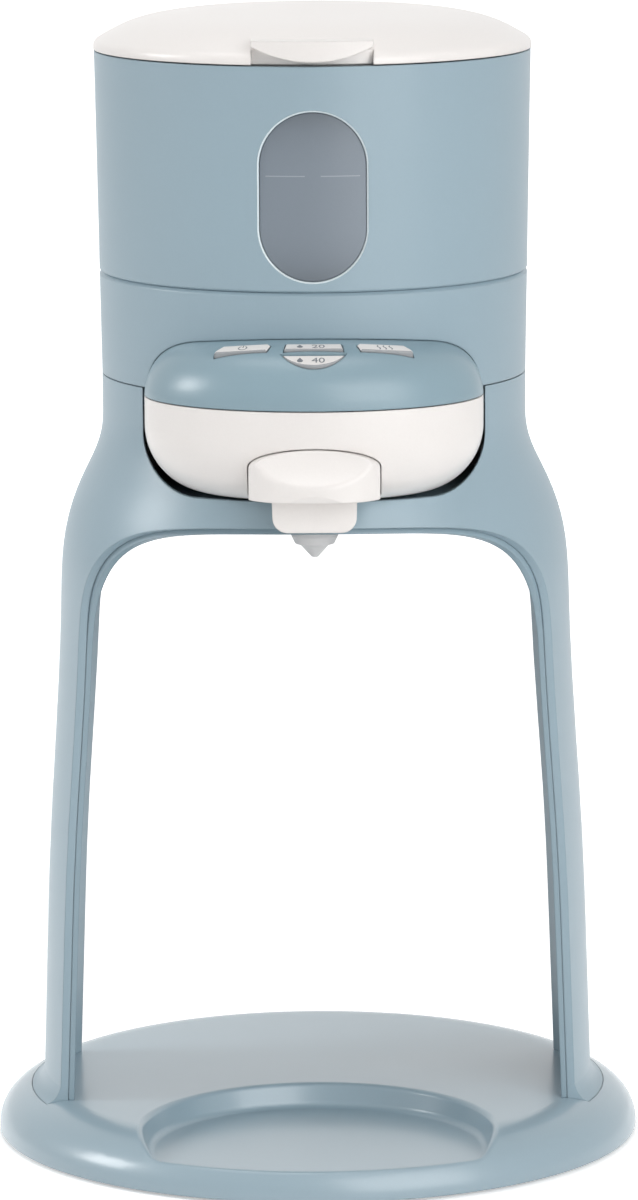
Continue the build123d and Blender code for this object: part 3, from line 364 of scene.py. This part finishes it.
def finish(name, group, colour, roughness, depth, edge=0.0, group_inputs=None, **shader):
    """A material from a surface group: its colour, gloss and grain feed one Principled shader."""
    material = bpy.data.materials.new(name)
    material.use_nodes = True
    graph = Graph(material.node_tree)
    output = graph.node("ShaderNodeOutputMaterial")
    surface = graph.node(
        "ShaderNodeGroup", {"node_tree": group}, Color=tuple(colour), Roughness=roughness
    )
    for key, value in (group_inputs or {}).items():
        surface.inputs[key].default_value = value
    bump = graph.node(
        "ShaderNodeBump", Strength=1.0, Distance=depth, Height=surface.outputs["Height"]
    )
    if edge:
        rounding = graph.node("ShaderNodeBevel", {"samples": BEVEL_SAMPLES}, Radius=edge)
        graph.feed(bump.inputs["Normal"], rounding.outputs[0])
    bsdf = graph.node(
        "ShaderNodeBsdfPrincipled",
        Base_Color=surface.outputs["Color"],
        Roughness=surface.outputs["Roughness"],
        Normal=bump.outputs[0],
    )
    for key, value in shader.items():
        graph.feed(bsdf.inputs[key.replace("_", " ")], value)
    graph.feed(output.inputs["Surface"], bsdf.outputs[0])
    return material


def plastic(name, colour, roughness, tone=0.04, edge=True, grain=1.0, **shader):
    """Moulded plastic from the maker's surface settings."""
    surface = bpy.context.scene.maker_surface
    return finish(
        name,
        moulded_group(),
        colour,
        roughness,
        surface.grain_depth * grain,
        surface.edge_radius if edge else 0.0,
        {"Tone": tone, "Grain Scale": surface.grain_scale},
        **shader,
    )


def metal(name, colour, roughness):
    """Drawn or turned metal."""
    return finish(name, brushed_group(), colour, roughness, METAL_DEPTH, Metallic=1.0)


def dress(nodes, material):
    """Gives CAD nodes one material."""
    for node in nodes:
        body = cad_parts[node]
        body.data.materials.clear()
        body.data.materials.append(material)
        for face in body.data.polygons:
            face.material_index = 0


def dress_sides(nodes, material):
    """Gives the faces of CAD nodes that don't look upwards a second, darker material: painted
    shade, as light falls from above.
    """
    for node in nodes:
        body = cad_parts[node]
        turn = body.matrix_world.to_3x3()
        body.data.materials.append(material)
        for face in body.data.polygons:
            if (turn @ face.normal).normalized().z < SIDE_LEVEL:
                face.material_index = 1


# ------------------------------------------------------------------ mesh helpers
def mesh_piece(name, build, material, body):
    """A mesh object filled by build(bm), riding on a body."""
    mesh = bpy.data.meshes.new(name)
    bm = bmesh.new()
    build(bm)
    bmesh.ops.recalc_face_normals(bm, faces=bm.faces)
    bm.to_mesh(mesh)
    bm.free()
    piece = bpy.data.objects.new(name, mesh)
    bpy.context.scene.collection.objects.link(piece)
    mesh.materials.append(material)
    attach(piece, body)
    return piece


def join_outlines(bm, low, high):
    """The closed solid between two outlines with the same number of corners."""
    bm.faces.new(high)
    bm.faces.new(low[::-1])
    join_rows(bm, low, high)


def join_rows(bm, low, high):
    """The strip of faces between two closed rows of corners."""
    count = len(low)
    for index in range(count):
        after = (index + 1) % count
        bm.faces.new((low[index], low[after], high[after], high[index]))


def raised_shape(bm, outline, place, thickness):
    """A flat shape with the given outline, raised off the plane whose matrix is place."""
    low = [bm.verts.new(place @ Vector((x, y, -thickness))) for x, y in outline]
    high = [bm.verts.new(place @ Vector((x, y, thickness))) for x, y in outline]
    join_outlines(bm, low, high)


def arc(middle_x, middle_y, radius, start, sweep, steps):
    """Points along an arc, whose start and sweep are in degrees."""
    points = []
    for step in range(steps + 1):
        angle = math.radians(start + step * sweep / steps)
        points.append((middle_x + radius * math.cos(angle), middle_y + radius * math.sin(angle)))
    return points


def stroke(points, breadth=STROKE_BREADTH):
    """Outline of a line of the given breadth through points."""
    left, right = [], []
    for index, point in enumerate(points):
        before = Vector(points[max(index - 1, 0)])
        after = Vector(points[min(index + 1, len(points) - 1)])
        along = (after - before).normalized()
        side = Vector((-along.y, along.x)) * breadth / 2
        left.append(tuple(Vector(point) + side))
        right.append(tuple(Vector(point) - side))
    return left + right[::-1]


def drop_outlines():
    """A water drop: round below, pointed above."""
    x, y = DROP_PLACE
    tip_height = 0.62 * DROP_SIZE
    belly_depth = 0.10 * DROP_SIZE
    belly_radius = 0.36 * DROP_SIZE
    belly = arc(x, y - belly_depth, belly_radius, start=150, sweep=240, steps=12)
    return [[(x, y + tip_height), *belly]]


def steam_outlines():
    """Three wavy lines, for steam."""
    outlines = []
    for shift in WAVE_SHIFTS:
        points = []
        for step in range(WAVE_STEPS + 1):
            share = step / WAVE_STEPS
            sway = WAVE_SWAY * math.sin(share * 2 * math.pi)
            points.append((shift + sway, (share - 0.5) * WAVE_HEIGHT))
        outlines.append(stroke(points))
    return outlines


def power_outlines():
    """An open ring with a bar, for switching on."""
    ring = arc(0.0, 0.0, RING_RADIUS, start=120, sweep=300, steps=18)
    return [stroke(ring), stroke([(0.0, end) for end in BAR_ENDS])]


def top_plane(place, lean_x, lean_y, yaw):
    """Matrix in metres of a button's top plane, from its place in mm, leans and turn in degrees."""
    up = Vector((lean_x, lean_y, 1)).normalized()
    along = Vector((math.cos(math.radians(yaw)), math.sin(math.radians(yaw)), 0))
    along = (along - along.dot(up) * up).normalized()
    across = up.cross(along)
    matrix = Matrix((along, across, up)).transposed().to_4x4()
    matrix.translation = Vector(place) * MM
    return matrix


BUTTON_TOPS = {
    "button_back": ("back_button", top_plane((0, -66.3, 226.0), 0, -0.18, 0)),
    "button_front": ("front_button", top_plane((0, -71.5, 223.05), 0, -0.40, 0)),
    "button_left": ("left_button", top_plane((-18.6, -64.0, 225.35), -0.14, -0.26, -14)),
    "button_right": ("right_button", top_plane((18.6, -64.0, 225.35), 0.14, -0.26, 14)),
}


# ------------------------------------------------------------------ operators
class MAKER_OT_shell(bpy.types.Operator):
    """Finish the coloured shells of body, stand, base and pod"""

    bl_idname = "maker.shell"
    bl_label = "Finish Coloured Shells"

    def execute(self, context):
        colours = context.scene.maker_colours
        plain = context.scene.maker_surface.shell_roughness
        glossy, dull = plain - 0.05, plain + 0.04
        shell = plastic("shell_blue", colours.shell, plain)
        dress(["upper_housing", "lower_housing", "stand_shell"], shell)
        plate = plastic("base_blue", colours.shell, plain, Coat_Weight=0.6, Coat_Roughness=0.2)
        dress(["base_top"], plate)
        dress(["pod_cover"], plastic("cover_blue", colours.cover, glossy))
        liner = plastic("liner_blue", colours.liner, dull)
        dress(["stand_liner", "under_cover"], liner)
        return {"FINISHED"}


class MAKER_OT_whites(bpy.types.Operator):
    """Finish the white lid, bowl, drawer and buttons"""

    bl_idname = "maker.whites"
    bl_label = "Finish White Pieces"

    def execute(self, context):
        colours = context.scene.maker_colours
        roughness = context.scene.maker_surface.white_roughness
        white = plastic("white_plastic", colours.white, roughness, tone=0.02)
        dress(["lid_shell", "pod_bowl", "drawer_front", *BUTTON_TOPS], white)
        # The buttons' sides get painted shade: a darker grey where light from above misses them.
        side = plastic("button_side_painted_shade", colours.button_side, roughness)
        dress_sides(BUTTON_TOPS, side)
        return {"FINISHED"}


class MAKER_OT_window(bpy.types.Operator):
    """Finish the frosted window with painted shade at its ends, the painted highlight on its edge,
    and its level line
    """

    bl_idname = "maker.window"
    bl_label = "Finish Window"

    def execute(self, context):
        colours = context.scene.maker_colours
        marks = context.scene.maker_marks
        low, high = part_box("window_lens")
        frosted = plastic(
            "frosted_window", colours.window, roughness=0.32, tone=0.10, grain=0.6
        )
        # Painted shade towards the window's top and bottom.
        self.shade_ends(frosted, low, high)
        # A painted highlight, laid on the housing's rounded edge round the window.
        bright = plastic("window_edge_highlight", colours.window_rim, roughness=0.3, edge=False)
        self.rim(low, high, marks, bright)
        dress(["window_lens"], frosted)
        ink = plastic("level_print", colours.level_line, INK_ROUGHNESS, edge=False)
        self.level_line(low, marks, ink)
        return {"FINISHED"}

    def shade_ends(self, material, low, high):
        """Paints shade on the window: darkens its colour towards its top and bottom."""
        tree = material.node_tree
        surface = next(node for node in tree.nodes if node.type == "GROUP")
        bsdf = next(node for node in tree.nodes if node.type == "BSDF_PRINCIPLED")
        graph = Graph(tree, clear=False)
        off_middle = graph.math("SUBTRACT", graph.position("Z"), (low.z + high.z) / 2)
        reach = graph.math("DIVIDE", off_middle, (high.z - low.z) / 2)
        ends = graph.math("POWER", graph.math("ABSOLUTE", reach), SHADE_POWER)
        shade = graph.math("SUBTRACT", 1.0, graph.math("MULTIPLY", ends, SHADE_SHARE))
        tint = graph.node(
            "ShaderNodeHueSaturation", Color=surface.outputs["Color"], Value=shade
        )
        graph.feed(bsdf.inputs["Base Color"], tint.outputs["Color"])

    def rim(self, low, high, marks, material):
        """A painted highlight: the bright rounded edge of the housing all round the window, as a
        thin sheet just off the housing.
        """
        middle = (low.z + high.z) / 2
        half_width = (high.x - low.x) / 2 + LENS_GAP
        straight = (high.z - low.z) / 2 + LENS_GAP - half_width

        def corner(bm, angle, reach, rise):
            """A corner of the edge, with reach 0 at its inner side and 1 at its outer side."""
            round_radius = half_width + RIM_START + reach * marks.rim_breadth
            shift = straight if math.sin(angle) > 0 else -straight
            x = round_radius * math.cos(angle)
            z = middle + shift + round_radius * math.sin(angle)
            body_radius = HOUSING_RADIUS + HOUSING_TAPER * (z - middle)
            sink = (1.0 - reach) * RIM_SINK
            return bm.verts.new((x, -math.sqrt(body_radius**2 - x**2) + sink - rise, z))

        def edge(bm):
            section = ((0.0, 0.0), (0.0, RIM_RISE), (1.0, RIM_RISE), (1.0, 0.0))
            rows = []
            for step in range(RIM_STEPS):
                angle = 2 * math.pi * (step + 0.5) / RIM_STEPS
                rows.append([corner(bm, angle, reach, rise) for reach, rise in section])
            for step in range(RIM_STEPS):
                join_rows(bm, rows[step], rows[(step + 1) % RIM_STEPS])

        mesh_piece("window_rim", edge, material, "machine")

    def level_line(self, low, marks, material):
        """The printed line that shows a full tank, in two parts."""
        outer = -low.y + marks.print_height
        inner = outer - marks.print_height * 2
        half_angle = marks.level_width / 2 / outer
        half_breadth = marks.line_thickness / 2

        def segment(bm, start, end):
            outlines = []
            for radius in (inner, outer):
                outline = []
                for angle, side in ((start, -1), (end, -1), (end, 1), (start, 1)):
                    height = marks.level_height + side * half_breadth
                    outline.append(
                        bm.verts.new((radius * math.sin(angle), -radius * math.cos(angle), height))
                    )
                outlines.append(outline)
            join_outlines(bm, *outlines)

        def line(bm):
            for index in range(LINE_SEGMENTS):
                if abs(index - (LINE_SEGMENTS - 1) / 2) < LINE_LEFT_OUT / 2:
                    continue
                start = -half_angle + index * 2 * half_angle / LINE_SEGMENTS
                segment(bm, start, start + 2 * half_angle / LINE_SEGMENTS)

        mesh_piece("level_line", line, material, "machine")


class MAKER_OT_button_marks(bpy.types.Operator):
    """Print plain marks and numbers on the four buttons"""

    bl_idname = "maker.button_marks"
    bl_label = "Print Button Marks"

    def execute(self, context):
        marks = context.scene.maker_marks
        colours = context.scene.maker_colours
        ink = plastic("button_print", colours.print_grey, INK_ROUGHNESS, edge=False)
        for node, number in (
            ("button_back", marks.cool_number),
            ("button_front", marks.warm_number),
        ):
            self.mark(context, node, "drop", drop_outlines(), ink)
            self.number(context, node, str(number), ink)
        self.mark(context, "button_right", "steam", steam_outlines(), ink)
        self.mark(context, "button_left", "power", power_outlines(), ink)
        return {"FINISHED"}

    def mark(self, context, node, label, outlines, ink):
        """A mark made of flat shapes, standing off the button by the print's height."""
        body, place = BUTTON_TOPS[node]
        thickness = context.scene.maker_marks.print_height

        def shapes(bm):
            for outline in outlines:
                raised_shape(bm, outline, place, thickness)

        mesh_piece(f"{node}_{label}", shapes, ink, body)

    def number(self, context, node, text, ink):
        """A plain number as a mesh, standing off the button by the print's height."""
        body, place = BUTTON_TOPS[node]
        name = f"{node}_number"
        marks = context.scene.maker_marks
        curve = bpy.data.curves.new(name, "FONT")
        curve.body = text
        curve.size = marks.digit_size
        curve.align_x = "CENTER"
        curve.align_y = "CENTER"
        curve.extrude = marks.print_height
        writer = bpy.data.objects.new(f"{name}_text", curve)
        context.scene.collection.objects.link(writer)
        context.view_layer.update()
        mesh = bpy.data.meshes.new_from_object(writer)
        bpy.data.objects.remove(writer)
        mesh.transform(place @ Matrix.Translation(NUMBER_PLACE))
        mesh.materials.clear()
        mesh.materials.append(ink)
        piece = bpy.data.objects.new(name, mesh)
        context.scene.collection.objects.link(piece)
        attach(piece, body)


class MAKER_OT_soft_pieces(bpy.types.Operator):
    """Finish the silicone nozzle, seals, hoses, valve and rubber feet"""

    bl_idname = "maker.soft_pieces"
    bl_label = "Finish Silicone and Rubber"

    def execute(self, context):
        colours = context.scene.maker_colours
        silicone = plastic("silicone_grey", colours.nozzle, roughness=0.42, tone=0.03)
        dress(["drip_nozzle", "lid_seal", "window_seal", "tray_valve", "pump_mount"], silicone)
        hose = plastic("silicone_hose", linear(214, 217, 214), roughness=0.35, edge=False)
        dress(["suction_hose", "pressure_hose", "spout_hose"], hose)
        rubber = plastic(
            "rubber_black", linear(32, 32, 34), roughness=0.7, tone=0.12, grain=3.0
        )
        dress(["rubber_feet"], rubber)
        return {"FINISHED"}


class MAKER_OT_works(bpy.types.Operator):
    """Finish the tank, heater, pump, boards and other works inside"""

    bl_idname = "maker.works"
    bl_label = "Finish Inner Works"

    def execute(self, context):
        natural = plastic("natural_plastic", linear(222, 221, 217), roughness=0.4)
        dress(["lid_liner", "chassis", "tank_strainer", "thermal_fuse"], natural)
        dress(["pod_ceiling", "water_spout", "powder_tray", "mixing_funnel"], natural)
        tank = plastic("tank_smoke", linear(196, 205, 211), roughness=0.22, grain=0.3)
        dress(["water_tank"], tank)
        dark = plastic("dark_plastic", linear(48, 51, 54), roughness=0.45)
        dress(["base_bottom", "power_inlet", "water_pump", "board_parts"], dark)
        dress(["button_switches"], dark)
        board = plastic("board_green", linear(34, 92, 62), roughness=0.4, tone=0.2)
        dress(["control_board", "button_board"], board)
        steel = metal("screw_steel", linear(196, 197, 198), roughness=0.32)
        dress(["base_screws", "leg_screws", "cover_screws"], steel)
        dress(["hinge_pin", "temperature_sensor"], steel)
        block = metal("cast_aluminium", linear(200, 202, 204), roughness=0.5)
        dress(["thermoblock"], block)
        brass = metal("pin_brass", linear(214, 182, 110), roughness=0.3)
        dress(["inlet_pins", "heater_terminals"], brass)
        return {"FINISHED"}


class MAKER_OT_stage(bpy.types.Operator):
    """Build the floor, light, world and camera"""

    bl_idname = "maker.stage"
    bl_label = "Build Stage"

    def execute(self, context):
        self.floor(context)
        self.world(context)
        self.lamps(context)
        self.camera(context)
        context.scene.view_settings.view_transform = "Standard"
        return {"FINISHED"}

    def floor(self, context):
        """A pale floor that goes on behind as a backdrop, and keeps the machine's shadow."""
        bend = arc(BEND_START, BEND_RADIUS, BEND_RADIUS, start=-90, sweep=90, steps=12)
        profile = [(-FLOOR_REACH, 0.0), *bend, (BEND_START + BEND_RADIUS, BACKDROP_TOP)]
        mesh = bpy.data.meshes.new("floor")
        bm = bmesh.new()
        left, right = (
            [bm.verts.new((x, y, z)) for y, z in profile] for x in (-FLOOR_REACH, FLOOR_REACH)
        )
        for index in range(len(profile) - 1):
            bm.faces.new((left[index], right[index], right[index + 1], left[index + 1]))
        bm.to_mesh(mesh)
        bm.free()
        for face in mesh.polygons:
            face.use_smooth = True
        floor = bpy.data.objects.new("floor", mesh)
        context.scene.collection.objects.link(floor)
        mesh.materials.append(self.floor_material())

    def floor_material(self):
        """Matt white that glows where the camera or a glossy surface sees it, more at the back."""
        material = bpy.data.materials.new("floor_white")
        material.use_nodes = True
        graph = Graph(material.node_tree)
        output = graph.node("ShaderNodeOutputMaterial")
        grain = graph.node("ShaderNodeTexNoise", Scale=3.0)
        tone = graph.node(
            "ShaderNodeMapRange", Value=grain.outputs["Fac"], To_Min=0.985, To_Max=1.0
        )
        paper = graph.node(
            "ShaderNodeHueSaturation", Color=(0.9, 0.9, 0.9), Value=tone.outputs[0]
        )
        matt = graph.node("ShaderNodeBsdfDiffuse", Color=paper.outputs[0])
        path = graph.node("ShaderNodeLightPath")
        far = graph.node(
            "ShaderNodeMapRange",
            Value=graph.position("Y"),
            From_Min=0.3,
            From_Max=1.6,
            To_Min=0.42,
            To_Max=0.95,
        )
        seen = graph.math("MULTIPLY", path.outputs["Is Camera Ray"], far.outputs[0])
        mirrored = graph.math("MULTIPLY", path.outputs["Is Glossy Ray"], FLOOR_MIRRORED)
        glow = graph.node(
            "ShaderNodeEmission", Color=WHITE, Strength=graph.math("ADD", seen, mirrored)
        )
        total = graph.node("ShaderNodeAddShader")
        graph.feed(total.inputs[0], matt.outputs[0])
        graph.feed(total.inputs[1], glow.outputs[0])
        graph.feed(output.inputs["Surface"], total.outputs[0])
        return material

    def world(self, context):
        """Even soft light, white where it is seen directly, through a piece or mirrored."""
        world = bpy.data.worlds.new("studio_world")
        world.use_nodes = True
        context.scene.world = world
        graph = Graph(world.node_tree)
        output = graph.node("ShaderNodeOutputWorld")
        rays = graph.node("ShaderNodeLightPath").outputs
        direct = graph.math("MAXIMUM", rays["Is Camera Ray"], rays["Is Transmission Ray"])
        seen = graph.math("MAXIMUM", direct, rays["Is Glossy Ray"])
        strength = context.scene.maker_studio.world_light
        soft = graph.node("ShaderNodeBackground", Color=WHITE, Strength=strength)
        bright = graph.node("ShaderNodeBackground", Color=WHITE, Strength=1.0)
        blend = graph.node("ShaderNodeMixShader", Fac=seen)
        graph.feed(blend.inputs[1], soft.outputs[0])
        graph.feed(blend.inputs[2], bright.outputs[0])
        graph.feed(output.inputs["Surface"], blend.outputs[0])

    def lamps(self, context):
        """A small lamp far to the left, a large one in front to the right and one above."""
        power = context.scene.maker_studio.lamp_power
        for name, place, size, share in LAMPS:
            light = bpy.data.lights.new(name, "AREA")
            light.shape = "SQUARE"
            light.size = size
            light.energy = power * share
            lamp = bpy.data.objects.new(name, light)
            lamp.location = place
            lamp.rotation_euler = (LAMP_AIM - Vector(place)).to_track_quat("-Z", "Y").to_euler()
            context.scene.collection.objects.link(lamp)

    def camera(self, context):
        """A long lens in front, a little above the machine."""
        studio = context.scene.maker_studio
        data = bpy.data.cameras.new("studio_camera")
        data.sensor_fit = "VERTICAL"
        data.sensor_height = SENSOR_HEIGHT
        data.lens = studio.focal_pixels / PICTURE_HEIGHT * SENSOR_HEIGHT
        camera = bpy.data.objects.new("studio_camera", data)
        place = Vector((studio.camera_side, -studio.camera_distance, studio.camera_height))
        pitch = Matrix.Rotation(math.pi / 2 - studio.camera_pitch, 4, "X")
        roll = Matrix.Rotation(studio.camera_roll, 4, "Z")
        camera.matrix_world = Matrix.Translation(place) @ pitch @ roll
        context.scene.collection.objects.link(camera)
        context.scene.camera = camera


class MAKER_PT_panel(bpy.types.Panel):
    """Buttons for each group of pieces"""

    bl_idname = "MAKER_PT_panel"
    bl_label = "Formula Maker"
    bl_space_type = "VIEW_3D"
    bl_region_type = "UI"
    bl_category = "Formula Maker"

    def draw(self, context):
        for operator in OPERATORS:
            self.layout.operator(operator.bl_idname)


OPERATORS = (
    MAKER_OT_shell,
    MAKER_OT_whites,
    MAKER_OT_window,
    MAKER_OT_button_marks,
    MAKER_OT_soft_pieces,
    MAKER_OT_works,
    MAKER_OT_stage,
)
SETTINGS = (
    ("maker_colours", MakerColours),
    ("maker_surface", MakerSurface),
    ("maker_marks", MakerMarks),
    ("maker_studio", MakerStudio),
)


def register():
    for name, group in SETTINGS:
        bpy.utils.register_class(group)
        setattr(bpy.types.Scene, name, PointerProperty(type=group))
    for operator in OPERATORS:
        bpy.utils.register_class(operator)
    bpy.utils.register_class(MAKER_PT_panel)


def unregister():
    bpy.utils.unregister_class(MAKER_PT_panel)
    for operator in reversed(OPERATORS):
        bpy.utils.unregister_class(operator)
    for name, group in reversed(SETTINGS):
        delattr(bpy.types.Scene, name)
        bpy.utils.unregister_class(group)


def main():
    register()
    bpy.ops.maker.shell()
    bpy.ops.maker.whites()
    bpy.ops.maker.window()
    bpy.ops.maker.button_marks()
    bpy.ops.maker.soft_pieces()
    bpy.ops.maker.works()
    bpy.ops.maker.stage()


if __name__ == "__main__":
    main()
